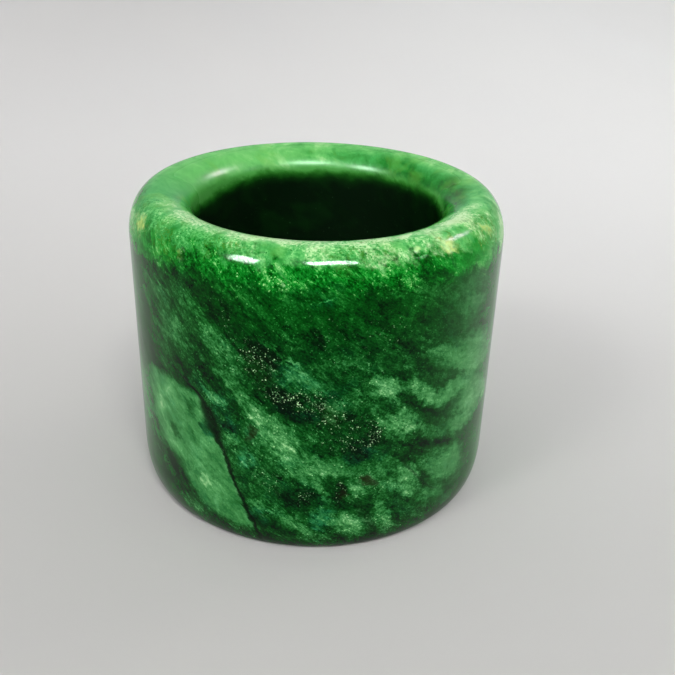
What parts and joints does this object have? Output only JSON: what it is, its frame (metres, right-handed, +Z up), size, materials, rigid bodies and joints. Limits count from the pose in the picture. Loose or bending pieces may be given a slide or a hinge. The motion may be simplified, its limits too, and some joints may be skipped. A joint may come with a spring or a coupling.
{
  "type": "thumb ring",
  "caption": "Polished jade thumb ring: a straight round wall, a domed rim that turns in to a straight through bore, and a flat foot to stand on.",
  "frame": {"origin": "centre of the flat foot, on the bore's axis", "axes": "+Z up along the bore's axis, from the flat foot to the domed rim; -Y is the side that the picture sees"},
  "size_m": [0.033, 0.033, 0.0272],
  "materials": {
    "jade": "polished"
  },
  "bodies": {
    "root": {"ring_body": "jade"}
  },
  "joints": []
}
